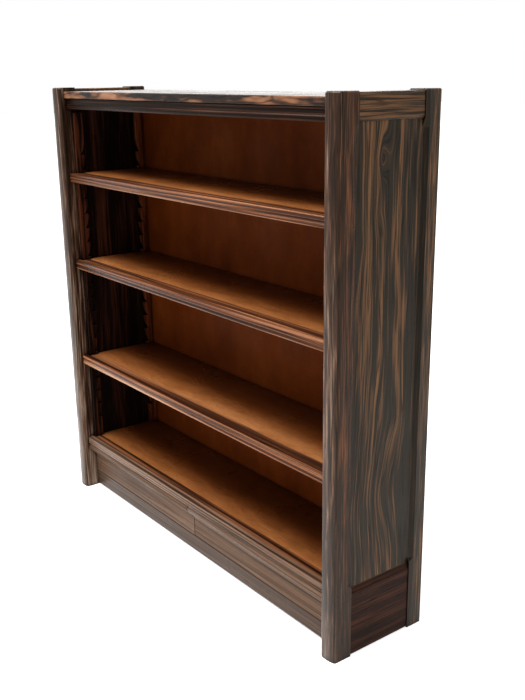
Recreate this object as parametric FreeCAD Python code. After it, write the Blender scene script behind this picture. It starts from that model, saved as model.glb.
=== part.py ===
import FreeCAD, Part
import math
import os
from FreeCAD import Vector

# A low, wide bookcase: two framed sides, a top and a plinth with two hidden drawers.
# Three loose shelves lie on bearers, and the bearers drop into sawtooth racks, one at each inside corner.
#
# X is the width, Z is up from the floor. While the pieces are drawn, Y runs back from the front of the
# posts (Y = 0) to their rear (Y = DEPTH). save() moves every piece so that Y = 0 is the middle of the depth.

# ---- overall ----
WIDTH = 1300.0
DEPTH = 296.0
HEIGHT = 1300.0
CLEARANCE = 0.3             # between a moving piece and what it lies on or against
SIDE_PLAY = 1.5             # at each end of a shelf or drawer front
TOUCHING = 1e-4             # two lengths closer than this are the same

# ---- posts and sides ----
POST_WIDTH = 50.0
FRONT_POST_DEPTH = 55.0
REAR_POST_DEPTH = 50.0
POST_BEVEL_DROP = 8.0       # how far the inner edge of a front post lies behind its front
POST_EASE = 2.5             # eased top edges of the posts
POST_FRONT_ROUND = 6.0      # rounding of a front post's top towards the front
PANEL_RECESS = 8.0
PANEL_THICKNESS = 10.0
TONGUE = 6.0                # how far a panel enters its groove
STOP_CHAMFER_FRONT = 12.0   # width of the stopped chamfer on a front post
STOP_CHAMFER_REAR = 13.0
CHAMFER_TOP = 1220.0        # the full chamfer ends here and runs out over CHAMFER_RUNOUT
CHAMFER_BOTTOM = 193.0
CHAMFER_RUNOUT_TOP = 22.0
CHAMFER_RUNOUT_BOTTOM = 10.0
LINING_THICKNESS = 8.0
REAR_LIP_START = 231.0      # where the lining meets the inner lip of the rear post
RAIL_INSET = 2.5
SIDE_TOP_RAIL_BOTTOM = 1239.0
SIDE_TOP_RAIL_TOP = 1297.0
SIDE_BOTTOM_RAIL_BOTTOM = 3.0
SIDE_BOTTOM_RAIL_TOP = 182.0
SIDE_BOTTOM_RAIL_THICKNESS = 22.0

# ---- top ----
TOP_BOARD_TOP = 1289.0
TOP_BOARD_THICKNESS = 20.0
TOP_BOARD_FRONT = 17.0
TOP_RAIL_FRONT = 26.0
TOP_RAIL_THICKNESS = 20.0
TOP_RAIL_BOTTOM = 1238.0
TOP_BEAD_HEIGHT = 13.0
TOP_BEAD_PROUD = 2.5

# ---- back ----
BACK_PANEL_FRONT = 278.0
BACK_PANEL_THICKNESS = 8.0
BACK_PANEL_BOTTOM = 40.0
BACK_REBATE = 12.0
SCREW_HEAD_RADIUS = 3.8
SCREW_SHANK_RADIUS = 1.7
SCREW_LENGTH = 20.0
REAR_RAIL_THICKNESS = 14.0

# ---- racks and bearers ----
RACK_WIDTH = 28.0
RACK_THICKNESS = 14.0
RACK_FRONT_EDGE = 39.0      # front edge of the front rack
RACK_TOP = 1226.0
NOTCH_PITCH = 45.0
NOTCH_DEPTH = 13.0
TOP_LEDGE = 1100.0
NOTCH_COUNT = 20
BEARER_HEIGHT = 20.0
BEARER_WIDTH = 18.0
BEARER_END_PLAY = 1.6
SHELF_LEDGES = {"upper": TOP_LEDGE - 2 * NOTCH_PITCH, "middle": TOP_LEDGE - 8 * NOTCH_PITCH,
                "lower": TOP_LEDGE - 15 * NOTCH_PITCH}

# ---- shelves ----
SHELF_THICKNESS = 16.0
LIPPING_FRONT = 19.0
LIPPING_DEPTH = 17.0
LIPPING_HEIGHT = 26.0
LIPPING_DROP = 10.0         # how far the lipping hangs below the board
REED_COUNT = 3
REED_DEPTH = 1.6
RACK_PLAY = 1.5             # between a shelf's corner notch and the rack

# ---- plinth ----
BOTTOM_SHELF_TOP = 178.0
BOTTOM_MOULDING_HEIGHT = 22.0
DRAWER_FRONT_TOP = 154.5
DRAWER_FRONT_BOTTOM = 53.5
DRAWER_FACE = 43.0          # the flat part of a drawer front
DRAWER_NOSE = 19.0          # the foremost part of its lip
DRAWER_FRONT_BACK = 61.0
DRAWER_GAP = 2.5            # between the two drawer fronts
NOSE_SHOULDER = 3.5         # how far the top and bottom of the nose lie behind its front
LIP_BOTTOM = 134.0
FACE_TOP = 108.0
DRAWER_SIDE_THICKNESS = 10.0
DRAWER_BOX_BACK = 250.0
DRAWER_BOX_BOTTOM = 62.0
DRAWER_BOX_TOP = 146.0
DRAWER_BOX_GAP = 10.0       # between a drawer's side and the lining
DRAWER_BOTTOM_THICKNESS = 5.0
DRAWER_BOTTOM_RISE = 6.0
DRAWER_GROOVE = 4.0
DIVIDER_THICKNESS = 18.0
RUNNER_HEIGHT = 10.0
DIVIDER_GAP = 5.0           # between a drawer's inner side and the divider
SKIRTING_FRONT = 44.0
SKIRTING_THICKNESS = 20.0
SKIRTING_BOTTOM = 5.0
SKIRTING_TOP = 52.0
GLUE_BLOCK = 22.0

# ---- derived ----
OUTER_X = WIDTH / 2
INNER_X = OUTER_X - POST_WIDTH
PANEL_OUTER_X = OUTER_X - PANEL_RECESS
RAIL_OUTER_X = OUTER_X - RAIL_INSET
REAR_POST_FRONT = DEPTH - REAR_POST_DEPTH
TOP_BOARD_BOTTOM = TOP_BOARD_TOP - TOP_BOARD_THICKNESS
BACK_PANEL_BACK = BACK_PANEL_FRONT + BACK_PANEL_THICKNESS
REAR_RAIL_FRONT = BACK_PANEL_FRONT - REAR_RAIL_THICKNESS
RACK_REAR_EDGE = RACK_FRONT_EDGE + RACK_WIDTH
REAR_RACK_FRONT_EDGE = BACK_PANEL_FRONT - RACK_WIDTH
RACK_INNER_X = INNER_X - RACK_THICKNESS
LIPPING_BACK = LIPPING_FRONT + LIPPING_DEPTH
SKIRTING_BACK = SKIRTING_FRONT + SKIRTING_THICKNESS
INNER_RUNNER_WIDTH = DIVIDER_GAP + DRAWER_SIDE_THICKNESS


# ---- drawing helpers ----

def box(x0, x1, y0, y1, z0, z1):
    """A box between two corners."""
    return Part.makeBox(x1 - x0, y1 - y0, z1 - z0, Vector(x0, y0, z0))


def outline(plane, start, *steps):
    """A flat face. A step is a point (a line to it) or a pair of points (an arc through one to the other)."""
    place = {
        "xy": lambda p: Vector(p[0], p[1], 0),
        "yz": lambda p: Vector(0, p[0], p[1]),
        "xz": lambda p: Vector(p[0], 0, p[1]),
    }[plane]
    edges = []
    here = place(start)
    for step in list(steps) + [start]:
        if isinstance(step[0], tuple):
            through, end = place(step[0]), place(step[1])
            edges.append(Part.Arc(here, through, end).toShape())
        else:
            end = place(step)
            if end.distanceToPoint(here) > TOUCHING:
                edges.append(Part.LineSegment(here, end).toShape())
        here = end
    return Part.Face(Part.Wire(edges))


def along_x(face, x0, x1):
    """A moulding: a YZ outline run from x0 to x1."""
    solid = face.extrude(Vector(x1 - x0, 0, 0))
    solid.translate(Vector(x0, 0, 0))
    return solid


def along_y(face, y0, y1):
    """An XZ outline run from y0 to y1."""
    solid = face.extrude(Vector(0, y1 - y0, 0))
    solid.translate(Vector(0, y0, 0))
    return solid


def upright(face, z0, z1):
    """An XY outline run from z0 up to z1."""
    solid = face.extrude(Vector(0, 0, z1 - z0))
    solid.translate(Vector(0, 0, z0))
    return solid


def mirrored(shape):
    """The same piece for the other end of the bookcase."""
    return shape.mirror(Vector(0, 0, 0), Vector(1, 0, 0))


def pyramid(corners, tip):
    """A solid on a triangle of three corners, ending at a tip."""
    a, b, c = corners
    triangles = [(a, b, c), (a, b, tip), (b, c, tip), (c, a, tip)]
    faces = [Part.Face(Part.makePolygon([p, q, r, p])) for p, q, r in triangles]
    solid = Part.Solid(Part.Shell(faces))
    if solid.Volume < 0:
        solid.reverse()
    return solid


def ease_edges_at(shape, height, size):
    """Chamfer the edges that lie flat at one height."""
    rim = [e for e in shape.Edges if abs(e.BoundBox.ZMin - height) < TOUCHING
           and abs(e.BoundBox.ZMax - height) < TOUCHING]
    return shape.makeChamfer(size, rim)


def save(name, shape):
    """Move a piece into the bookcase's own frame and write it."""
    placed = shape.copy()
    placed.translate(Vector(0, -DEPTH / 2, 0))
    solids = placed.Solids
    whole = solids[0] if len(solids) == 1 else Part.makeCompound(solids)
    if not whole.isValid() or any(s.Volume <= 0 for s in solids):
        raise ValueError("bad solid: " + name)
    whole.exportStep("parts/" + name + ".step")
    print(name, len(solids), "solid(s)", round(sum(s.Volume for s in solids)), "mm3")


def save_pair(name, right_shape):
    """Write a piece of the right end and its mirror image at the left end."""
    save(name + "_right", right_shape)
    save(name + "_left", mirrored(right_shape))


# ---- sides ----

def side_panel():
    """The show panel of a side, with tongues all round."""
    return box(PANEL_OUTER_X - PANEL_THICKNESS, PANEL_OUTER_X,
               FRONT_POST_DEPTH - TONGUE, REAR_POST_FRONT + TONGUE,
               SIDE_BOTTOM_RAIL_TOP - TONGUE, SIDE_TOP_RAIL_BOTTOM + TONGUE)


def side_lining():
    """The veneered board inside a side, level with the posts' inner faces."""
    return box(INNER_X, INNER_X + LINING_THICKNESS, FRONT_POST_DEPTH, REAR_LIP_START,
               SIDE_BOTTOM_RAIL_BOTTOM, SIDE_TOP_RAIL_BOTTOM)


def stopped_chamfer(edge_y, into_post):
    """The wood taken off a post's edge beside the panel. Its two ends run out to the square edge."""

    def section(z):
        return [Vector(OUTER_X, edge_y + into_post, z),
                Vector(OUTER_X, edge_y, z),
                Vector(PANEL_OUTER_X, edge_y, z)]

    low, high = section(CHAMFER_BOTTOM), section(CHAMFER_TOP)
    middle = Part.Face(Part.makePolygon(low + [low[0]])).extrude(Vector(0, 0, CHAMFER_TOP - CHAMFER_BOTTOM))
    top_end = pyramid(high, high[1] + Vector(0, 0, CHAMFER_RUNOUT_TOP))
    bottom_end = pyramid(low, low[1] - Vector(0, 0, CHAMFER_RUNOUT_BOTTOM))
    return [middle, top_end, bottom_end]


def front_post():
    """A front post: rounded over at its inner edge, gently bowed in front, with a tight outer corner.

    Its top is rounded over along the front and the outer side.
    """
    plan = outline("xy", (INNER_X, POST_BEVEL_DROP),
                   ((INNER_X + 4.5, 3.0), (INNER_X + 13.0, 0.4)),
                   ((INNER_X + 28.0, 0.25), (OUTER_X - 5.0, 3.2)),
                   ((OUTER_X - 1.6, 5.4), (OUTER_X, 9.5)),
                   (OUTER_X, FRONT_POST_DEPTH),
                   (INNER_X, FRONT_POST_DEPTH))
    post = upright(plan, 0, HEIGHT)
    front_rim = [e for e in post.Edges if abs(e.BoundBox.ZMin - HEIGHT) < TOUCHING
                 and e.BoundBox.YMax < POST_BEVEL_DROP + 1]
    rounded = post.makeFillet(POST_FRONT_ROUND, front_rim)
    return rounded.cut(stopped_chamfer(FRONT_POST_DEPTH, -STOP_CHAMFER_FRONT) + [side_panel()])


def rear_post(screws):
    """A rear post: an inner lip meets the lining, and a rebate takes the back panel."""
    plan = outline("xy", (INNER_X, REAR_LIP_START),
                   (INNER_X + LINING_THICKNESS, REAR_LIP_START),
                   (INNER_X + LINING_THICKNESS, REAR_POST_FRONT),
                   (OUTER_X, REAR_POST_FRONT),
                   (OUTER_X, DEPTH - 6.0),
                   ((OUTER_X - 1.8, DEPTH - 1.8), (OUTER_X - 6.0, DEPTH)),
                   (INNER_X, DEPTH))
    post = upright(plan, 0, HEIGHT)
    above_lip = box(INNER_X - 1, INNER_X + LINING_THICKNESS, REAR_LIP_START - 1, REAR_POST_FRONT,
                    SIDE_TOP_RAIL_BOTTOM, HEIGHT + 1)
    post = ease_edges_at(post.cut(above_lip), HEIGHT, POST_EASE)
    rebate = box(INNER_X - 1, INNER_X + BACK_REBATE, BACK_PANEL_FRONT, DEPTH + 1,
                 BACK_PANEL_BOTTOM, TOP_BOARD_BOTTOM)
    return post.cut(stopped_chamfer(REAR_POST_FRONT, STOP_CHAMFER_REAR) + [side_panel(), rebate, screws])


def side_top_rail():
    """The thick rail over a side, moulded along its lower outer edge."""
    face = outline("xz", (INNER_X, SIDE_TOP_RAIL_BOTTOM),
                   (PANEL_OUTER_X, SIDE_TOP_RAIL_BOTTOM),
                   ((RAIL_OUTER_X - 1.6, SIDE_TOP_RAIL_BOTTOM + 2.6),
                    (RAIL_OUTER_X, SIDE_TOP_RAIL_BOTTOM + 8.0)),
                   (RAIL_OUTER_X, SIDE_TOP_RAIL_TOP - POST_EASE),
                   (RAIL_OUTER_X - POST_EASE, SIDE_TOP_RAIL_TOP),
                   (INNER_X + POST_EASE, SIDE_TOP_RAIL_TOP),
                   (INNER_X, SIDE_TOP_RAIL_TOP - POST_EASE))
    return along_y(face, FRONT_POST_DEPTH, REAR_POST_FRONT).cut(side_panel())


def side_bottom_rail():
    """The deep rail below a side panel, with a sloping moulded top edge."""
    inner = RAIL_OUTER_X - SIDE_BOTTOM_RAIL_THICKNESS
    top = SIDE_BOTTOM_RAIL_TOP
    face = outline("xz", (inner, SIDE_BOTTOM_RAIL_BOTTOM),
                   (RAIL_OUTER_X, SIDE_BOTTOM_RAIL_BOTTOM),
                   (RAIL_OUTER_X, top - 17.0),
                   (RAIL_OUTER_X - 1.5, top - 15.0),
                   (PANEL_OUTER_X + 0.5, top - 2.0),
                   (PANEL_OUTER_X, top),
                   (inner, top))
    return along_y(face, FRONT_POST_DEPTH, REAR_POST_FRONT).cut(side_panel())


# ---- racks and bearers ----

def rack_outline():
    """The front rack seen from the side: plain above its top notch, then one tooth every NOTCH_PITCH."""
    radius = (NOTCH_PITCH ** 2 + NOTCH_DEPTH ** 2) / (2 * NOTCH_DEPTH)
    tip = RACK_REAR_EDGE
    root = tip - NOTCH_DEPTH
    half = NOTCH_PITCH / 2
    half_y = tip - (radius - math.sqrt(radius ** 2 - half ** 2))
    steps = [(RACK_FRONT_EDGE, RACK_TOP), (tip, RACK_TOP), (tip, TOP_LEDGE + NOTCH_PITCH)]
    for notch in range(NOTCH_COUNT):
        ledge = TOP_LEDGE - notch * NOTCH_PITCH
        steps.append(((half_y, ledge + half), (root, ledge)))
        steps.append((tip, ledge))
    steps.append((tip, BOTTOM_SHELF_TOP))
    return outline("yz", (RACK_FRONT_EDGE, BOTTOM_SHELF_TOP), *steps)


def front_rack():
    """The right front rack; its teeth face the back."""
    return along_x(rack_outline(), RACK_INNER_X, INNER_X)


def rear_rack():
    """The right rear rack: the front one turned about, with its teeth facing the front."""
    middle = (RACK_FRONT_EDGE + BACK_PANEL_FRONT) / 2
    return front_rack().mirror(Vector(0, middle, 0), Vector(0, 1, 0))


def bearer(ledge):
    """A right bearer lying in the notches of two racks, with ends cut to suit the teeth."""
    front_root = RACK_REAR_EDGE - NOTCH_DEPTH + BEARER_END_PLAY
    rear_root = REAR_RACK_FRONT_EDGE + NOTCH_DEPTH - BEARER_END_PLAY
    slant = 9.0
    low = ledge + CLEARANCE
    high = low + BEARER_HEIGHT
    face = outline("yz", (front_root, low), (rear_root, low),
                   (rear_root - slant, high), (front_root + slant, high))
    outer = INNER_X - CLEARANCE
    return along_x(face, outer - BEARER_WIDTH, outer)


# ---- shelves ----

def reeded_strip(front, back, bottom, top, x0, x1):
    """A moulding whose front is a row of shallow rounded reeds."""
    reed = (top - bottom) / REED_COUNT
    valley = front + REED_DEPTH
    steps = [(back, top)]
    here = top
    steps.append((valley, top))
    for _ in range(REED_COUNT):
        steps.append(((front, here - reed / 2), (valley, here - reed)))
        here -= reed
    return along_x(outline("yz", (back, bottom), *steps), x0, x1)


def shelf_board(underside):
    """A shelf's board, notched at its four corners to pass the racks."""
    end = INNER_X - SIDE_PLAY
    board = box(-end, end, LIPPING_BACK, BACK_PANEL_FRONT - SIDE_PLAY, underside, underside + SHELF_THICKNESS)
    past_rack = RACK_INNER_X - RACK_PLAY
    notches = []
    for y0, y1 in ((LIPPING_BACK - 1, RACK_REAR_EDGE + RACK_PLAY),
                   (REAR_RACK_FRONT_EDGE - RACK_PLAY, BACK_PANEL_FRONT)):
        notch = box(past_rack, end + 1, y0, y1, underside - 1, underside + SHELF_THICKNESS + 1)
        notches += [notch, mirrored(notch)]
    return board.cut(notches)


def shelf_lipping(underside):
    """The reeded strip along a shelf's front."""
    end = INNER_X - SIDE_PLAY
    bottom = underside - LIPPING_DROP
    return reeded_strip(LIPPING_FRONT, LIPPING_BACK, bottom, bottom + LIPPING_HEIGHT, -end, end)


# ---- top and back ----

def top_board():
    """The top, level between the side rails, with eased front edges."""
    ease = 2.0
    face = outline("yz", (DEPTH, TOP_BOARD_BOTTOM), (TOP_BOARD_FRONT + ease, TOP_BOARD_BOTTOM),
                   (TOP_BOARD_FRONT, TOP_BOARD_BOTTOM + ease), (TOP_BOARD_FRONT, TOP_BOARD_TOP - ease),
                   (TOP_BOARD_FRONT + ease, TOP_BOARD_TOP), (DEPTH, TOP_BOARD_TOP))
    return along_x(face, -INNER_X, INNER_X)


def top_front_rail():
    """The rail under the top's front edge, with a bead along its foot."""
    back = TOP_RAIL_FRONT + TOP_RAIL_THICKNESS
    bead_top = TOP_RAIL_BOTTOM + TOP_BEAD_HEIGHT
    ease = 2.5
    face = outline("yz", (back, TOP_RAIL_BOTTOM),
                   (TOP_RAIL_FRONT, TOP_RAIL_BOTTOM),
                   ((TOP_RAIL_FRONT - TOP_BEAD_PROUD, TOP_RAIL_BOTTOM + TOP_BEAD_HEIGHT / 2),
                    (TOP_RAIL_FRONT, bead_top)),
                   (TOP_RAIL_FRONT, TOP_BOARD_BOTTOM - ease),
                   (TOP_RAIL_FRONT + ease, TOP_BOARD_BOTTOM),
                   (back, TOP_BOARD_BOTTOM))
    return along_x(face, -INNER_X, INNER_X)


def top_rear_rail(screws):
    """The rail that carries the top's rear edge and the back panel's upper screws."""
    rail = box(-INNER_X, INNER_X, REAR_RAIL_FRONT, BACK_PANEL_FRONT, SIDE_TOP_RAIL_BOTTOM, TOP_BOARD_BOTTOM)
    return rail.cut(screws)


def back_panel(screws):
    """The single board of the back."""
    end = INNER_X + BACK_REBATE - 1
    panel = box(-end, end, BACK_PANEL_FRONT, BACK_PANEL_BACK, BACK_PANEL_BOTTOM, TOP_BOARD_BOTTOM)
    return panel.cut(screws)


def screw(x, z):
    """A countersunk slotted screw driven forwards through the back panel."""
    forward = Vector(0, -1, 0)
    head_depth = SCREW_HEAD_RADIUS - SCREW_SHANK_RADIUS + 0.6
    head = Part.makeCone(SCREW_HEAD_RADIUS, SCREW_SHANK_RADIUS, head_depth,
                         Vector(x, BACK_PANEL_BACK, z), forward)
    shank = Part.makeCylinder(SCREW_SHANK_RADIUS, SCREW_LENGTH - head_depth,
                              Vector(x, BACK_PANEL_BACK - head_depth, z), forward)
    return head.fuse(shank).removeSplitter()


def slotted(plain_screw, x, z):
    """The same screw with its driving slot cut."""
    slot_half, slot_depth = 0.5, 1.0
    slot = box(x - SCREW_HEAD_RADIUS - 1, x + SCREW_HEAD_RADIUS + 1,
               BACK_PANEL_BACK - slot_depth, BACK_PANEL_BACK + 1, z - slot_half, z + slot_half)
    return plain_screw.cut(slot)


def back_screw_places():
    """Screws down both posts, along the top rail and along the plinth's rear rail."""
    post_x = INNER_X + BACK_REBATE / 2
    post_rows = 6
    first, last = BACK_PANEL_BOTTOM + 60, TOP_BOARD_BOTTOM - 60
    heights = [first + (last - first) * i / (post_rows - 1) for i in range(post_rows)]
    places = [(side * post_x, z) for side in (-1, 1) for z in heights]
    rail_x = (-450.0, -150.0, 150.0, 450.0)
    rail_z = ((SIDE_TOP_RAIL_BOTTOM + TOP_BOARD_BOTTOM) / 2, BACK_PANEL_BOTTOM + RUNNER_HEIGHT)
    return places + [(x, z) for z in rail_z for x in rail_x]


# ---- plinth ----

def bottom_shelf():
    """The fixed board over the drawers."""
    return box(-INNER_X, INNER_X, LIPPING_BACK, BACK_PANEL_FRONT,
               BOTTOM_SHELF_TOP - SHELF_THICKNESS, BOTTOM_SHELF_TOP)


def bottom_moulding():
    """The reeded strip along the fixed board's front."""
    return reeded_strip(LIPPING_FRONT - 1, LIPPING_BACK, BOTTOM_SHELF_TOP - BOTTOM_MOULDING_HEIGHT,
                        BOTTOM_SHELF_TOP, -INNER_X, INNER_X)


def skirting():
    """The strip below the drawers, clear of the floor."""
    ease = 1.5
    face = outline("yz", (SKIRTING_BACK, SKIRTING_BOTTOM), (SKIRTING_FRONT + ease, SKIRTING_BOTTOM),
                   (SKIRTING_FRONT, SKIRTING_BOTTOM + ease), (SKIRTING_FRONT, SKIRTING_TOP - ease),
                   (SKIRTING_FRONT + ease, SKIRTING_TOP), (SKIRTING_BACK, SKIRTING_TOP))
    return along_x(face, -INNER_X, INNER_X)


def plinth_rear_rail(screws):
    """The low rail behind the drawers."""
    rail = box(-INNER_X, INNER_X, REAR_RAIL_FRONT, BACK_PANEL_FRONT,
               SKIRTING_BOTTOM, SKIRTING_TOP + RUNNER_HEIGHT)
    return rail.cut(screws)


def divider():
    """The upright board between the drawers. It stands on the floor at mid-span."""
    half = DIVIDER_THICKNESS / 2
    return box(-half, half, SKIRTING_BACK, REAR_RAIL_FRONT, SIDE_BOTTOM_RAIL_BOTTOM,
               BOTTOM_SHELF_TOP - SHELF_THICKNESS)


def runners():
    """Four strips that the drawers' sides slide on."""
    half = DIVIDER_THICKNESS / 2
    top = DRAWER_BOX_BOTTOM - CLEARANCE
    reach = DRAWER_BOX_GAP + DRAWER_SIDE_THICKNESS
    inner = box(half, half + INNER_RUNNER_WIDTH, SKIRTING_BACK, REAR_RAIL_FRONT, top - RUNNER_HEIGHT, top)
    outer = box(INNER_X - reach, INNER_X, SKIRTING_BACK, REAR_RAIL_FRONT, top - RUNNER_HEIGHT, top)
    return Part.makeCompound([inner, outer, mirrored(inner), mirrored(outer)])


def glue_blocks():
    """Triangular blocks behind the skirting, at its ends and beside the divider."""
    half = DIVIDER_THICKNESS / 2
    blocks = []
    for x, turn in ((INNER_X, -1), (half, 1)):
        plan = outline("xy", (x, SKIRTING_BACK), (x + turn * GLUE_BLOCK, SKIRTING_BACK),
                       (x, SKIRTING_BACK + GLUE_BLOCK))
        block = upright(plan, SKIRTING_BOTTOM + 3, SKIRTING_TOP - 3)
        blocks += [block, mirrored(block)]
    return Part.makeCompound(blocks)


def drawer_front():
    """The right drawer's front: a rounded lip that sweeps back to a flat face, for the fingers to pull."""
    face = outline("yz", (DRAWER_FRONT_BACK, DRAWER_FRONT_BOTTOM),
                   (DRAWER_FACE + 1, DRAWER_FRONT_BOTTOM),
                   (DRAWER_FACE, DRAWER_FRONT_BOTTOM + 1),
                   (DRAWER_FACE, FACE_TOP),
                   ((DRAWER_FACE - 8.0, FACE_TOP + 15.0), (DRAWER_NOSE + NOSE_SHOULDER, LIP_BOTTOM)),
                   ((DRAWER_NOSE, (LIP_BOTTOM + DRAWER_FRONT_TOP) / 2 - 1),
                    (DRAWER_NOSE + NOSE_SHOULDER, DRAWER_FRONT_TOP)),
                   (DRAWER_FRONT_BACK, DRAWER_FRONT_TOP))
    return along_x(face, DRAWER_GAP / 2, INNER_X - SIDE_PLAY)


def drawer_pieces():
    """The right drawer: its front, two sides, back and bottom."""
    inner_x = DIVIDER_THICKNESS / 2 + DIVIDER_GAP
    outer_x = INNER_X - DRAWER_BOX_GAP
    thick = DRAWER_SIDE_THICKNESS
    low, high = DRAWER_BOX_BOTTOM, DRAWER_BOX_TOP
    rear = DRAWER_BOX_BACK
    floor_z = low + DRAWER_BOTTOM_RISE
    bottom = box(inner_x + thick - DRAWER_GROOVE, outer_x - thick + DRAWER_GROOVE,
                 DRAWER_FRONT_BACK - DRAWER_GROOVE, rear - thick + DRAWER_GROOVE,
                 floor_z, floor_z + DRAWER_BOTTOM_THICKNESS)
    return {
        "front": drawer_front().cut(bottom),
        "inner_side": box(inner_x, inner_x + thick, DRAWER_FRONT_BACK, rear, low, high).cut(bottom),
        "outer_side": box(outer_x - thick, outer_x, DRAWER_FRONT_BACK, rear, low, high).cut(bottom),
        "back": box(inner_x + thick, outer_x - thick, rear - thick, rear, low, high).cut(bottom),
        "bottom": bottom,
    }


# ---- the whole ----

def main():
    os.makedirs("parts", exist_ok=True)
    places = back_screw_places()
    plain_screws = [screw(x, z) for x, z in places]
    screw_group = Part.makeCompound(plain_screws)

    save_pair("front_post", front_post())
    save_pair("rear_post", rear_post(screw_group))
    save_pair("side_panel", side_panel())
    save_pair("side_lining", side_lining())
    save_pair("side_top_rail", side_top_rail())
    save_pair("side_bottom_rail", side_bottom_rail())
    save_pair("rack_front", front_rack())
    save_pair("rack_rear", rear_rack())

    save("top_board", top_board())
    save("top_front_rail", top_front_rail())
    save("top_rear_rail", top_rear_rail(screw_group))
    save("back_panel", back_panel(screw_group))
    slotted_screws = [slotted(plain, x, z) for plain, (x, z) in zip(plain_screws, places)]
    save("back_panel_screws", Part.makeCompound(slotted_screws))

    save("bottom_shelf", bottom_shelf())
    save("bottom_shelf_moulding", bottom_moulding())
    save("plinth_skirting", skirting())
    save("plinth_rear_rail", plinth_rear_rail(screw_group))
    save("drawer_divider", divider())
    save("drawer_runners", runners())
    save("glue_blocks", glue_blocks())
    for piece, shape in drawer_pieces().items():
        save_pair("drawer_" + piece, shape)

    for level, ledge in SHELF_LEDGES.items():
        underside = ledge + BEARER_HEIGHT + 2 * CLEARANCE
        save("shelf_" + level + "_board", shelf_board(underside))
        save("shelf_" + level + "_lipping", shelf_lipping(underside))
        save_pair("bearer_" + level, bearer(ledge))


main()
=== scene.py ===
import math
import bpy
from mathutils import Matrix, Vector


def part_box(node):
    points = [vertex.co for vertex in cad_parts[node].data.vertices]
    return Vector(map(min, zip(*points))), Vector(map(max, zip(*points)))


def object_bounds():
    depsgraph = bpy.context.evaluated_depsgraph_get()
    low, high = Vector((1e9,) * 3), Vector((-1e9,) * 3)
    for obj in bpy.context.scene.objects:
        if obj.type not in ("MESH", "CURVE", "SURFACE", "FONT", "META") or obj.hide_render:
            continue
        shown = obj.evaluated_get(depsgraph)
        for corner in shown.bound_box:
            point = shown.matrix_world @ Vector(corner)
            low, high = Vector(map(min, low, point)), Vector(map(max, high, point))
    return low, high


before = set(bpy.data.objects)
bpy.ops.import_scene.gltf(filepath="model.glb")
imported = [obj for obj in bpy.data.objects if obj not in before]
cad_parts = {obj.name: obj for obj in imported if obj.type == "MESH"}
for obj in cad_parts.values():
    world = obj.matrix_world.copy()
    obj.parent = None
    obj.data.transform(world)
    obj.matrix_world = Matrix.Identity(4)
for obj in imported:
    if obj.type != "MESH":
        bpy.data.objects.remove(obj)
CAD_LOW, CAD_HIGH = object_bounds()

MILLI = 0.001
AXIS_X, AXIS_Y, AXIS_Z = range(3)

# The camera, placed from the object's origin on the floor and turned as in the photograph.
CAMERA_PLACE = Vector((2.0374, -1.3975, 1.3369))
CAMERA_LENS_MM = 47.40
CAMERA_SENSOR_MM = 36
CAMERA_YAW = math.radians(52.792)
CAMERA_DOWN = math.radians(16.775)
CAMERA_ROLL = math.radians(-0.747)
CAMERA_NEAR = 0.05
CAMERA_FAR = 200

# Light. The floor glows by FLOOR_GLOW, and to the front and right it fades to FLOOR_FAR_GLOW
# from FLOOR_LIT on, over FLOOR_FADE.
WORLD_STRENGTH = 1.0
FLOOR_SIZE = 60
FLOOR_GLOW = 0.55
FLOOR_FAR_GLOW = 0.22
FLOOR_LIT = 0.8
FLOOR_FADE = 2.4
FLOOR_COLOUR = (0.93, 0.93, 0.93, 1)
FLOOR_ROUGHNESS = 0.8
OVERHEAD_PLACE = Vector((-0.5, -1.3, 3.0))
OVERHEAD_SIZE = (2.4, 1.4)
OVERHEAD_WATTS = 210
CARD_PLACE = Vector((-1.9, 1.44, 0.72))
CARD_SIZE = (3.2, 1.2)
CARD_WATTS = 24

# Shapes and painted shade, in metres except where they are shares.
EASED_EDGE = 0.5 * MILLI
EASED_ANGLE = math.radians(50)
WELD_DISTANCE = 0.005 * MILLI
EDGE_RADIUS = 1.5 * MILLI
CORNER_REACH = 16 * MILLI
MOULDING_REACH = 5 * MILLI
# Painted shade: how dark the wood is painted in grooves, inner corners and joints.
CORNER_PAINTED_SHADE = 0.18
TONE = 0.56
# Painted shade in the recess where each rear post meets its side panel.
GROOVE_PAINTED_SHADE = 0.16
GROOVE_FROM_BACK = 37 * MILLI
SHELF_STRIP = 24 * MILLI
# Painted shade that darkens each shelf top towards the rear.
SHELF_SHADE_FRONT = 10 * MILLI
SHELF_SHADE_BACK = 90 * MILLI
SHELF_SHADE_DARK = 0.28
TOP_STRIP = 2 * MILLI
POST_FRONT = 6.5 * MILLI
STRIP_EDGE = 0.3 * MILLI

# Grain. Scales are per metre; where there are three, the last is along the grain. A swelling
# that reaches WHOLE, in metres, covers a piece from end to end.
SHIFT_STEPS = (1.0, 1.7, 2.3)
SLOW_SWAY = 4.0
QUICK_SWAY = 26.0
SWAY_LENGTH = 0.3
LAYER = 3.1
RING_WIDTH = 0.055
SWELLING_SHAPE = 1.45
WHOLE = 3.0
PORE_SCALES = (2200, 2200, 70)
PORE_SHARE = 0.45
PORE_ROUGHNESS = 0.12
# Edges are paled, partly as wear and partly as a painted highlight.
EDGE_WEAR_AND_HIGHLIGHT_SHARE = 0.22
RIPPLE_SCALES = (500, 500, 25)
RIPPLE_HEIGHT = 0.12 * MILLI
COAT_ROUGHNESS = 0.1

# Shifts, so that no two pieces are cut from the same place in the grain.
PIECE_STEP = 0.613
SHELF_STEP = 0.77
RIGHT_POST_SHIFT = 0.6
RIGHT_SHIFT = 1.213
LEFT_SHIFT_MORE = 8.3
LOOSE_SHELF_SHIFT = 20.3
BOTTOM_SHELF_SHIFT = 23.9
BEARER_SHIFTS = {"right": 15, "left": 12}
STRIP_SHIFT_MORE = 0.3
TOP_BOARD_SHIFT = 30.1
BACK_PANEL_SHIFT = 31.4
REST_SHIFT = 32.7


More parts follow.
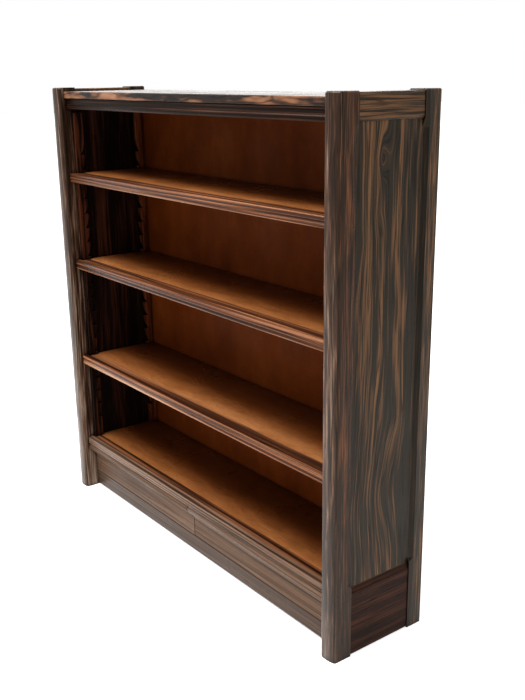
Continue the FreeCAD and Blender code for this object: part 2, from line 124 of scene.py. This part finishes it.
def linear(red, green, blue):
    """A linear colour from 0 to 255 display values."""
    def channel(value):
        share = value / 255
        return share / 12.92 if share <= 0.04045 else ((share + 0.055) / 1.055) ** 2.4
    return (channel(red), channel(green), channel(blue), 1)


class Shader:
    """A material's node tree, with a short call for each kind of node."""

    def __init__(self, name):
        self.material = bpy.data.materials.new(name)
        self.material.use_nodes = True
        self.tree = self.material.node_tree
        self.surface = self.tree.nodes["Principled BSDF"]

    def put(self, socket, value):
        if isinstance(value, bpy.types.NodeSocket):
            self.tree.links.new(value, socket)
        else:
            socket.default_value = value

    def node(self, kind, inputs, **settings):
        made = self.tree.nodes.new(kind)
        for key, value in settings.items():
            setattr(made, key, value)
        for key, value in inputs.items():
            self.put(made.inputs[key], value)
        return made

    def math(self, operation, *values):
        return self.node("ShaderNodeMath", dict(enumerate(values)), operation=operation).outputs[0]

    def vector(self, operation, *values):
        made = self.node("ShaderNodeVectorMath", dict(enumerate(values)), operation=operation)
        return made.outputs["Value" if operation == "DOT_PRODUCT" else "Vector"]

    def place(self):
        return self.node("ShaderNodeTexCoord", {}).outputs["Object"]

    def parts(self, vector):
        return self.node("ShaderNodeSeparateXYZ", {0: vector}).outputs

    def joined(self, x, y, z):
        return self.node("ShaderNodeCombineXYZ", {0: x, 1: y, 2: z}).outputs[0]

    def noise(self, vector, scale, detail=2.0, roughness=0.5):
        inputs = {"Vector": vector, "Scale": scale, "Detail": detail, "Roughness": roughness}
        return self.node("ShaderNodeTexNoise", inputs).outputs["Fac"]

    def between(self, value, low, high, to_low=0.0, to_high=1.0):
        inputs = {0: value, 1: low, 2: high, 3: to_low, 4: to_high}
        return self.node("ShaderNodeMapRange", inputs, interpolation_type="SMOOTHSTEP").outputs[0]

    def ramp(self, value, stops):
        made = self.node("ShaderNodeValToRGB", {0: value})
        while len(made.color_ramp.elements) < len(stops):
            made.color_ramp.elements.new(1)
        for element, (position, colour) in zip(made.color_ramp.elements, stops):
            element.position = position
            element.color = colour
        return made.outputs["Color"]

    def mix(self, factor, first, second, blend="MIX"):
        made = self.node("ShaderNodeMix", {0: factor, 6: first, 7: second},
                         data_type="RGBA", blend_type=blend)
        return made.outputs[2]

    def bump(self, height, distance, strength=1.0):
        inputs = {"Height": height, "Distance": distance, "Strength": strength}
        return self.node("ShaderNodeBump", inputs).outputs["Normal"]

    def edge_wear_and_highlight(self):
        """1 within about a millimetre of an edge, 0 on the flat."""
        rounded = self.node("ShaderNodeBevel", {"Radius": EDGE_RADIUS}, samples=4).outputs[0]
        plain = self.node("ShaderNodeNewGeometry", {}).outputs["Normal"]
        facing = self.vector("DOT_PRODUCT", rounded, plain)
        return self.between(facing, 0.99, 0.85)

    def corner(self, reach):
        """1 in the open, less in grooves and inner corners nearer than reach."""
        return self.node("ShaderNodeAmbientOcclusion", {"Distance": reach}, samples=6).outputs["AO"]


EBONY = [
    (0.00, linear(38, 33, 27)),
    (0.45, linear(46, 39, 31)),
    (0.51, linear(66, 50, 37)),
    (0.57, linear(92, 66, 46)),
    (0.65, linear(112, 78, 51)),
    (0.80, linear(134, 94, 62)),
]
EBONY_POST = [
    (0.00, linear(32, 21, 15)),
    (0.42, linear(46, 29, 20)),
    (0.50, linear(70, 43, 28)),
    (0.58, linear(96, 58, 36)),
    (0.66, linear(120, 73, 45)),
    (0.80, linear(138, 88, 56)),
]
# The post wood with its pale stripes greyed, partly wood and partly a painted sheen of reflected
# light.
POST_WOOD_WITH_SHEEN = [
    (0.00, linear(32, 21, 15)),
    (0.42, linear(46, 29, 20)),
    (0.50, linear(74, 48, 34)),
    (0.58, linear(104, 76, 59)),
    (0.66, linear(138, 112, 94)),
    (0.80, linear(160, 138, 121)),
]
LIPPING = [
    (0.00, linear(48, 23, 12)),
    (0.42, linear(68, 34, 18)),
    (0.49, linear(106, 59, 33)),
    (0.56, linear(142, 86, 53)),
    (0.66, linear(172, 116, 80)),
    (0.80, linear(196, 150, 118)),
]
STRIP_BROWN = [
    (0.00, linear(38, 22, 14)),
    (0.42, linear(58, 33, 21)),
    (0.52, linear(92, 54, 34)),
    (0.62, linear(128, 78, 48)),
    (0.80, linear(150, 98, 64)),
]
PLINTH = [
    (0.00, linear(56, 40, 31)),
    (0.40, linear(84, 62, 48)),
    (0.50, linear(116, 88, 69)),
    (0.60, linear(138, 107, 86)),
    (0.80, linear(152, 120, 98)),
]
SKIRTING = [
    (0.00, linear(40, 30, 24)),
    (0.40, linear(60, 45, 36)),
    (0.50, linear(86, 65, 52)),
    (0.60, linear(104, 80, 64)),
    (0.80, linear(120, 94, 77)),
]
EBONY_DARK = [
    (0.00, linear(14, 9, 7)),
    (0.46, linear(20, 13, 10)),
    (0.54, linear(38, 20, 14)),
    (0.62, linear(58, 30, 20)),
    (0.80, linear(84, 44, 28)),
]
RAIL_DARK = [
    (0.20, linear(28, 16, 12)),
    (0.50, linear(50, 28, 20)),
    (0.80, linear(80, 45, 31)),
]
EBONY_RED = [
    (0.00, linear(20, 12, 9)),
    (0.44, linear(32, 20, 15)),
    (0.52, linear(50, 31, 23)),
    (0.60, linear(78, 49, 36)),
    (0.80, linear(116, 78, 58)),
]
EBONY_BOLD = [
    (0.00, linear(22, 15, 12)),
    (0.50, linear(36, 25, 20)),
    (0.54, linear(80, 52, 37)),
    (0.60, linear(118, 78, 54)),
    (0.68, linear(144, 98, 68)),
    (0.80, linear(160, 114, 84)),
]
SHELF_BROWN = [
    (0.30, linear(148, 90, 47)),
    (0.50, linear(170, 106, 58)),
    (0.70, linear(188, 124, 74)),
]
BACK_BROWN = [
    (0.30, linear(92, 38, 8)),
    (0.50, linear(112, 50, 13)),
    (0.70, linear(130, 64, 22)),
]
BACK_OUTSIDE = [
    (0.30, linear(74, 44, 26)),
    (0.50, linear(92, 56, 34)),
    (0.70, linear(112, 72, 46)),
]
RACK_BROWN = [
    (0.35, linear(84, 38, 20)),
    (0.50, linear(114, 55, 30)),
    (0.65, linear(146, 78, 45)),
]
# Painted shade: a darker copy of the rack wood for the front racks.
RACK_SHADED = [
    (0.42, linear(18, 10, 8)),
    (0.52, linear(34, 17, 11)),
    (0.62, linear(78, 38, 22)),
]
INNER_BROWN = [
    (0.25, linear(104, 62, 36)),
    (0.50, linear(138, 88, 54)),
    (0.75, linear(164, 112, 74)),
]
WARM_GLOSS = (1.0, 0.88, 0.70, 1)
PORE_COLOUR = linear(16, 11, 8)
# Edges are paled, partly as wear and partly as a painted highlight.
EDGE_WEAR_AND_HIGHLIGHT_COLOUR = linear(150, 112, 84)


def grain_space(shader, grain, shift):
    """The place in metres with the grain axis last, moved by shift so that no two pieces match."""
    x, y, z = shader.parts(shader.place())
    across = {"x": (y, z, x), "y": (x, z, y), "z": (x, y, z)}[grain]
    moved = [shader.math("ADD", value, shift * step) for value, step in zip(across, SHIFT_STEPS)]
    return shader.joined(*moved)


def swing(shader, point, scale, size, field):
    """The field moved sideways by up to about half of size, slowly along the grain."""
    sway = shader.noise(shader.vector("MULTIPLY", point, (1, 1, SWAY_LENGTH)), scale, 1)
    return shader.math("MULTIPLY_ADD", shader.math("SUBTRACT", sway, 0.5), size, field)


def spread(shader, place, centre, reach):
    """How far the place is from the centre along one axis: 0 there, 1 at reach, more beyond."""
    away = shader.math("DIVIDE", shader.math("SUBTRACT", place, centre), reach)
    return shader.math("POWER", shader.math("ABSOLUTE", away), SWELLING_SHAPE)


def swelling(shader, across, along, heart, width, length, size):
    """Size at the heart, fading away over width and length, along the axes across and along."""
    place = shader.parts(shader.place())
    sideways = spread(shader, place[across], heart[0], width)
    lengthways = spread(shader, place[along], heart[1], length)
    away = shader.math("MULTIPLY", shader.math("ADD", sideways, lengthways), -1.0)
    return shader.math("MULTIPLY", shader.math("EXPONENT", away), size)


def grain_colour(shader, grain, shift, palette, lean=(0.6, 0.8, 0), stripe=105, band=30,
                 band_share=0.7, sway=0.030, wave=0.012, contrast=1.0, fine=0.5,
                 length_share=0.03, ring=1.5, figures=(), lights=(), groove=None):
    """Stripes along the grain, from the palette, with thin dark lines between the growth rings.

    Lean is the direction in which the stripes follow each other. Stripe and band set how many
    stripes and broader bands there are in a metre, and ring how many lines to a stripe. Sway and
    wave are how far the grain bends, in metres, and length_share how fast it changes along its
    length. Fine is how dark the lines are. Figures swell the rings, lights brighten or darken the
    wood, and groove is the Y up to which it is darkened with painted shade.
    """
    point = grain_space(shader, grain, shift)
    field = shader.vector("DOT_PRODUCT", point, lean)
    field = swing(shader, point, SLOW_SWAY, sway, field)
    field = swing(shader, point, QUICK_SWAY, wave, field)
    for figure in figures:
        field = shader.math("ADD", field, swelling(shader, *figure))
    length = shader.math("MULTIPLY", shader.parts(point)[2], length_share)
    stripes_at = shader.joined(field, shift * LAYER, length)
    stripes = shader.noise(stripes_at, stripe, 2, 0.6)
    bands = shader.noise(stripes_at, band, 1)
    bands = shader.math("SUBTRACT", bands, 0.5)
    mixed = shader.math("MULTIPLY_ADD", bands, band_share, stripes)
    mixed = shader.math("MULTIPLY_ADD", shader.math("SUBTRACT", mixed, 0.5), contrast, 0.5)
    for light in lights:
        mixed = shader.math("ADD", mixed, swelling(shader, *light))
    lines = shader.noise(stripes_at, stripe * ring, 1, 0.6)
    ring_edge = shader.math("ABSOLUTE", shader.math("SUBTRACT", lines, 0.5))
    tint = shader.between(ring_edge, 0.0, RING_WIDTH, 1 - fine, 1 + fine * 0.15)
    if groove:
        # Painted shade: darkened up to that Y, in the recess where the rear post meets its panel.
        depth = shader.parts(shader.place())[AXIS_Y]
        groove_shade = shader.between(depth, groove, groove + MILLI, GROOVE_PAINTED_SHADE, 1.0)
        tint = shader.math("MULTIPLY", tint, groove_shade)
    return shader.mix(1.0, shader.ramp(mixed, palette), shader.joined(tint, tint, tint), "MULTIPLY")


def polished(shader, colour, grain, shift, gloss=0.32, coat=0.03, level=0.09, reach=CORNER_REACH):
    """The material of a wood colour with pores, painted corner shade, paled edges and polish."""
    point = grain_space(shader, grain, shift)
    pores = shader.noise(shader.vector("MULTIPLY", point, PORE_SCALES), 1.0, 1)
    open_pore = shader.between(pores, 0.60, 0.68)
    colour = shader.mix(shader.math("MULTIPLY", open_pore, PORE_SHARE), colour, PORE_COLOUR)
    # The edges are paled, partly as wear and partly as a painted highlight.
    wear_and_highlight = shader.math("MULTIPLY", shader.edge_wear_and_highlight(), EDGE_WEAR_AND_HIGHLIGHT_SHARE)
    colour = shader.mix(wear_and_highlight, colour, EDGE_WEAR_AND_HIGHLIGHT_COLOUR)
    # Painted shade: the colour is darkened in grooves, inner corners and joints, then scaled by TONE.
    light = shader.between(shader.corner(reach), 0.3, 0.9, CORNER_PAINTED_SHADE, 1.0)
    light = shader.math("MULTIPLY", light, TONE)
    colour = shader.mix(1.0, colour, shader.joined(light, light, light), "MULTIPLY")
    rough = shader.between(shader.noise(point, 9.0, 3), 0.3, 0.7, gloss - 0.06, gloss + 0.08)
    rough = shader.math("MULTIPLY_ADD", open_pore, PORE_ROUGHNESS, rough)
    ripple = shader.noise(shader.vector("MULTIPLY", point, RIPPLE_SCALES), 1.0, 1)
    height = shader.math("MULTIPLY_ADD", open_pore, -0.6, ripple)
    shader.put(shader.surface.inputs["Base Color"], colour)
    shader.put(shader.surface.inputs["Roughness"], rough)
    shader.put(shader.surface.inputs["Normal"], shader.bump(height, RIPPLE_HEIGHT, 0.5))
    shader.put(shader.surface.inputs["Coat Weight"], coat)
    shader.put(shader.surface.inputs["Coat Roughness"], COAT_ROUGHNESS)
    shader.put(shader.surface.inputs["Specular IOR Level"], level)
    shader.put(shader.surface.inputs["Specular Tint"], WARM_GLOSS)
    return shader.material


def wood(name, grain, shift, palette, polish=None, **pattern):
    """A piece of one wood."""
    shader = Shader(name)
    colour = grain_colour(shader, grain, shift, palette, **pattern)
    return polished(shader, colour, grain, shift, **(polish or {}))


def banded(name, shift, inner, edge, limit, grain="x", rear_shade=None, polish=None):
    """A piece whose front, up to limit in Y, is the edge wood and the rest the inner wood.

    Each is a palette and a pattern. The rear shade is painted shade that darkens the inner wood
    to the rear: from and to where in Y, and from and to how bright.
    """
    shader = Shader(name)
    behind = grain_colour(shader, grain, shift, inner[0], **inner[1])
    depth = shader.parts(shader.place())[AXIS_Y]
    # Painted shade: the inner wood darkens to the rear, blue most and red least.
    if rear_shade:
        tint = shader.between(depth, *rear_shade)
        redder = [shader.math("POWER", tint, power) for power in (1.0, 1.3, 1.6)]
        behind = shader.mix(1.0, behind, shader.joined(*redder), "MULTIPLY")
    before = grain_colour(shader, grain, shift + STRIP_SHIFT_MORE, edge[0], **edge[1])
    mask = shader.between(depth, limit - STRIP_EDGE, limit + STRIP_EDGE)
    return polished(shader, shader.mix(mask, before, behind), grain, shift, **(polish or {}))


def dull_steel():
    """Old screw steel: grey metal with brown tarnish in patches."""
    shader = Shader("screw_metal")
    place = shader.place()
    tarnish = shader.between(shader.noise(place, 420.0, 3), 0.42, 0.62)
    colour = shader.mix(tarnish, linear(150, 142, 128), linear(84, 62, 46))
    shader.put(shader.surface.inputs["Base Color"], colour)
    shader.put(shader.surface.inputs["Metallic"], 1.0)
    shader.put(shader.surface.inputs["Roughness"], shader.between(tarnish, 0, 1, 0.32, 0.62))
    scratches = shader.bump(shader.noise(place, 1800.0, 2), 0.05 * MILLI, 0.4)
    shader.put(shader.surface.inputs["Normal"], scratches)
    return shader.material


def soften(node):
    """Takes the sharp edges off a CAD node with modifiers, as the maker's sandpaper does."""
    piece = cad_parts[node]
    piece.modifiers.new("join", "WELD").merge_threshold = WELD_DISTANCE
    bevel = piece.modifiers.new("ease", "BEVEL")
    bevel.width = EASED_EDGE
    bevel.segments = 2
    bevel.limit_method = "ANGLE"
    bevel.angle_limit = EASED_ANGLE
    bevel.harden_normals = True


def paint(node, material):
    """Gives a CAD node the material."""
    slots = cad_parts[node].data.materials
    slots.clear()
    slots.append(material)


def make_camera():
    """The camera at the photograph's angle, with no shift and no depth of field."""
    forward = Vector((-math.sin(CAMERA_YAW) * math.cos(CAMERA_DOWN),
                      math.cos(CAMERA_YAW) * math.cos(CAMERA_DOWN),
                      -math.sin(CAMERA_DOWN)))
    right = Vector((math.cos(CAMERA_YAW), math.sin(CAMERA_YAW), 0))
    up = right.cross(forward)
    turned_right = right * math.cos(CAMERA_ROLL) + up * math.sin(CAMERA_ROLL)
    turned_up = up * math.cos(CAMERA_ROLL) - right * math.sin(CAMERA_ROLL)
    data = bpy.data.cameras.new("camera")
    data.lens = CAMERA_LENS_MM
    data.sensor_width = CAMERA_SENSOR_MM
    data.clip_start = CAMERA_NEAR
    data.clip_end = CAMERA_FAR
    camera = bpy.data.objects.new("camera", data)
    turn = Matrix((turned_right, turned_up, -forward)).transposed().to_4x4()
    camera.matrix_world = Matrix.Translation(CAMERA_PLACE) @ turn
    bpy.context.scene.collection.objects.link(camera)
    bpy.context.scene.camera = camera


def make_world():
    """An even white studio."""
    world = bpy.data.worlds.new("studio")
    world.use_nodes = True
    sky = world.node_tree.nodes["Background"]
    sky.inputs["Color"].default_value = (1, 1, 1, 1)
    sky.inputs["Strength"].default_value = WORLD_STRENGTH
    bpy.context.scene.world = world


def make_floor():
    """A plain pale floor under the lowest point of the object."""
    half = FLOOR_SIZE / 2
    corners = [(-half, -half), (half, -half), (half, half), (-half, half)]
    mesh = bpy.data.meshes.new("floor")
    mesh.from_pydata([(x, y, CAD_LOW.z) for x, y in corners], [], [(0, 1, 2, 3)])
    floor = bpy.data.objects.new("floor", mesh)
    bpy.context.scene.collection.objects.link(floor)
    shader = Shader("floor_paper")
    shader.put(shader.surface.inputs["Base Color"], FLOOR_COLOUR)
    shader.put(shader.surface.inputs["Roughness"], FLOOR_ROUGHNESS)
    shader.put(shader.surface.inputs["Emission Color"], (1, 1, 1, 1))
    place = shader.parts(shader.place())
    frontward = shader.math("MULTIPLY", place[AXIS_Y], -1.0)
    away = shader.math("MAXIMUM", place[AXIS_X], frontward)
    glow = shader.between(away, FLOOR_LIT, FLOOR_LIT + FLOOR_FADE, FLOOR_GLOW, FLOOR_FAR_GLOW)
    shader.put(shader.surface.inputs["Emission Strength"], glow)
    mesh.materials.append(shader.material)


def area_light(name, place, target, size, watts):
    """A soft rectangular light that the camera doesn't see."""
    data = bpy.data.lights.new(name, "AREA")
    data.shape = "RECTANGLE"
    data.size, data.size_y = size
    data.energy = watts
    light = bpy.data.objects.new(name, data)
    light.location = place
    light.rotation_mode = "QUATERNION"
    light.rotation_quaternion = (Vector(target) - Vector(place)).to_track_quat("-Z", "Y")
    light.visible_camera = False
    bpy.context.scene.collection.objects.link(light)


def make_lights():
    """A light overhead, and a card behind and left of the top board, to show white in its polish."""
    middle = (CAD_LOW + CAD_HIGH) / 2
    area_light("overhead", middle + OVERHEAD_PLACE, middle, OVERHEAD_SIZE, OVERHEAD_WATTS)
    top = Vector((middle.x, middle.y, CAD_HIGH.z))
    area_light("card_behind", top + CARD_PLACE, top, CARD_SIZE, CARD_WATTS)


def on_panel(across, up, width, length, size):
    """A swelling on the right panel, with its heart at shares of the panel's depth and height."""
    low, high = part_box("side_panel_right")
    heart = (low.y + across * (high.y - low.y), low.z + up * (high.z - low.z))
    return (AXIS_Y, AXIS_Z, heart, width, length, size)


def on_post(side, across, up, width, length, size):
    """A swelling on a front post, with its heart at shares of the post's width and height."""
    low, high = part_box(f"front_post_{side}")
    heart = (low.x + across * (high.x - low.x), low.z + up * (high.z - low.z))
    return (AXIS_X, AXIS_Z, heart, width, length, size)


def panel_figures():
    """The eye high on the right panel with the flame under it, and two slow bends low on it."""
    return (
        on_panel(0.40, 0.925, 0.017, 0.046, 0.044),
        on_panel(0.36, 0.82, 0.020, 0.070, 0.020),
        on_panel(0.45, 0.20, 0.055, 0.150, 0.034),
        on_panel(0.72, 0.38, 0.030, 0.100, -0.016),
    )


def left_post():
    """The left front post, grey-brown, darker at its top and paler at its foot."""
    top = on_post("left", 0, 1, WHOLE, 0.60, -0.08)
    # Painted reflection: the foot is brightened towards the pale grey stripes.
    foot = on_post("left", 0, 0, WHOLE, 0.45, 0.11)
    return wood("front_post_left_wood", "z", RIGHT_POST_SHIFT + LEFT_SHIFT_MORE, POST_WOOD_WITH_SHEEN,
                polish=POST_POLISH, lights=(top, foot), **POST)


def right_post():
    """The right front post, brown at its side, and greyer in front with a pale streak low down."""
    foot = on_post("right", 0, 0, WHOLE, 0.36, -0.08)
    top = on_post("right", 0, 1, WHOLE, 0.62, -0.06)
    # Painted highlight: a pale band low on the front face.
    streak = on_post("right", 0.45, 0.40, 0.011, 0.26, 0.15)
    side = (EBONY_POST, {**POST, "lights": (foot,)})
    # The front face takes the palette with painted sheen.
    front = (POST_WOOD_WITH_SHEEN, {**POST, "lights": (foot, top, streak)})
    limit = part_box("front_post_right")[0].y + POST_FRONT
    return banded("front_post_right_wood", RIGHT_POST_SHIFT, side, front, limit, "z",
                  polish=POST_POLISH)


def panel_lights():
    """On the right panel: a paler column in front, a darker one behind, a paler eye, a darker foot."""
    return (
        on_panel(0.13, 0.5, 0.022, WHOLE, 0.035),
        on_panel(0.90, 0.5, 0.018, WHOLE, -0.10),
        on_panel(0.36, 0.925, 0.030, 0.09, 0.06),
        on_panel(0.60, 0.0935, 0.400, 0.32, -0.075),
    )


# Patterns: how each kind of piece is cut and figured, with how it is polished where that differs.
POST = {"lean": (0.55, 0.83, 0), "stripe": 250, "band": 80, "band_share": 0.4, "sway": 0.02,
        "wave": 0.004, "ring": 0.6, "fine": 0.6}
POST_POLISH = {"level": 0.13}
PANEL = {"lean": (0.1, 1, 0), "stripe": 150, "band": 32, "sway": 0.05, "wave": 0.012, "fine": 0.62,
         "ring": 0.75}
RAIL = {"lean": (0.3, 1, 0), "stripe": 170, "band": 50, "sway": 0.012, "wave": 0.004, "ring": 0.8,
        "fine": 0.65}
MOULDING = {"lean": (0.5, 0.9, 0), "stripe": 170, "band": 60, "band_share": 0.3, "sway": 0.006,
            "wave": 0.002, "contrast": 1.4, "length_share": 0.006, "ring": 0.8, "fine": 0.65,
            "polish": {"coat": 0.05, "level": 0.10, "reach": MOULDING_REACH}}
DULL = {"coat": 0.0, "level": 0.04, "reach": MOULDING_REACH}
STRIP = {key: value for key, value in MOULDING.items() if key != "polish"}
FACING = {"lean": (0.3, 1, 0), "stripe": 300, "band": 70, "band_share": 0.12, "sway": 0.006,
          "wave": 0.002, "contrast": 0.75, "fine": 0.35, "length_share": 0.006, "ring": 0.9}
QUIET = {"stripe": 90, "band": 20, "contrast": 0.7, "fine": 0.2, "sway": 0.02, "wave": 0.006}
SOFT = {"stripe": 60, "band": 9, "band_share": 1.2, "contrast": 0.6, "fine": 0.12, "sway": 0.05,
        "wave": 0.02, "length_share": 0.12}
MOTTLED = {**SOFT, "stripe": 30, "contrast": 0.4, "fine": 0.05, "length_share": 0.35}
MATT = {"gloss": 0.5, "coat": 0.0, "level": 0.03}
STREAKED = {**QUIET, "stripe": 200, "band": 60, "contrast": 1.3}
BLOTCHY = {**RAIL, "stripe": 44, "band": 14, "length_share": 0.17}


def finish_sides():
    """The ends of the case, and the drawers, which come in pairs too."""
    paint("front_post_right", right_post())
    paint("front_post_left", left_post())
    for side, more_shift in (("right", 0), ("left", LEFT_SHIFT_MORE)):
        figures = panel_figures() if side == "right" else ()
        lights = panel_lights() if side == "right" else ()
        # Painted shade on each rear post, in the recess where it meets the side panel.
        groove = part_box(f"rear_post_{side}")[1].y - GROOVE_FROM_BACK
        for step, (node, grain, palette, more) in enumerate((
            ("rear_post", "z", EBONY, {**POST, "groove": groove, "polish": POST_POLISH}),
            ("side_panel", "z", EBONY, {**PANEL, "figures": figures, "lights": lights}),
            ("side_lining", "z", EBONY_DARK, PANEL),
            ("side_top_rail", "y", EBONY, RAIL),
            ("side_bottom_rail", "y", RAIL_DARK, {**RAIL, "polish": DULL}),
            # The front racks take the painted-shade copy of the rack wood.
            ("rack_front", "z", RACK_SHADED, STREAKED),
            ("rack_rear", "z", RACK_BROWN, STREAKED),
            ("drawer_front", "x", PLINTH, {**FACING, "polish": DULL}),
            ("drawer_inner_side", "y", INNER_BROWN, QUIET),
            ("drawer_outer_side", "y", INNER_BROWN, QUIET),
            ("drawer_back", "x", INNER_BROWN, QUIET),
            ("drawer_bottom", "x", INNER_BROWN, QUIET),
        )):
            name = f"{node}_{side}"
            shift = RIGHT_SHIFT + more_shift + PIECE_STEP * step
            paint(name, wood(f"{name}_wood", grain, shift, palette, **more))


def shelf_wood(node, shift):
    """A shelf's orange-brown top, darker to the rear, with a striped strip along its front."""
    low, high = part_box(node)
    # Painted shade on the shelf top, darker towards the rear.
    rear_shade = (low.y + SHELF_SHADE_FRONT, high.y - SHELF_SHADE_BACK, 1.0, SHELF_SHADE_DARK)
    return banded(f"{node}_wood", shift, (SHELF_BROWN, SOFT), (STRIP_BROWN, STRIP),
                  low.y + SHELF_STRIP, rear_shade=rear_shade)


def finish_shelves():
    """The three loose shelves with their lippings and bearers, and the fixed bottom shelf."""
    for index, level in enumerate(("upper", "middle", "lower")):
        shift = LOOSE_SHELF_SHIFT + SHELF_STEP * index
        board = f"shelf_{level}_board"
        paint(board, shelf_wood(board, shift))
        lipping = f"shelf_{level}_lipping"
        paint(lipping, wood(f"{lipping}_wood", "x", shift, LIPPING, **MOULDING))
        for side, more_shift in BEARER_SHIFTS.items():
            bearer = f"bearer_{level}_{side}"
            paint(bearer, wood(f"{bearer}_wood", "y", shift + more_shift, RACK_BROWN, **QUIET))
    paint("bottom_shelf", shelf_wood("bottom_shelf", BOTTOM_SHELF_SHIFT))


def finish_boards():
    """The top board, bolder along its front edge, and the back panel, plainer on its rear face."""
    top_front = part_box("top_board")[0].y
    paint("top_board", banded("top_board_wood", TOP_BOARD_SHIFT, (EBONY, RAIL), (EBONY_BOLD, BLOTCHY),
                              top_front + TOP_STRIP, polish={"coat": 0.08}))
    back_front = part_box("back_panel")[0].y
    paint("back_panel", banded("back_panel_wood", BACK_PANEL_SHIFT, (BACK_OUTSIDE, QUIET),
                               (BACK_BROWN, MOTTLED), back_front + TOP_STRIP, "z", polish=MATT))


def finish_rest():
    """The rails and mouldings between the ends, the hidden pieces and the screws."""
    for step, (node, grain, palette, more) in enumerate((
        ("top_front_rail", "x", EBONY_RED, {**MOULDING, "polish": DULL}),
        ("top_rear_rail", "x", BACK_OUTSIDE, QUIET),
        ("bottom_shelf_moulding", "x", PLINTH, MOULDING),
        ("plinth_skirting", "x", SKIRTING, FACING),
        ("plinth_rear_rail", "x", BACK_OUTSIDE, QUIET),
        ("drawer_divider", "y", INNER_BROWN, QUIET),
        ("drawer_runners", "y", INNER_BROWN, QUIET),
        ("glue_blocks", "x", INNER_BROWN, QUIET),
    )):
        paint(node, wood(f"{node}_wood", grain, REST_SHIFT + PIECE_STEP * step, palette, **more))
    paint("back_panel_screws", dull_steel())


make_camera()
make_world()
make_floor()
make_lights()
bpy.context.scene.view_settings.view_transform = "Standard"
finish_sides()
finish_shelves()
finish_boards()
finish_rest()
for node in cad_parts:
    if not node.startswith("back_panel"):
        soften(node)
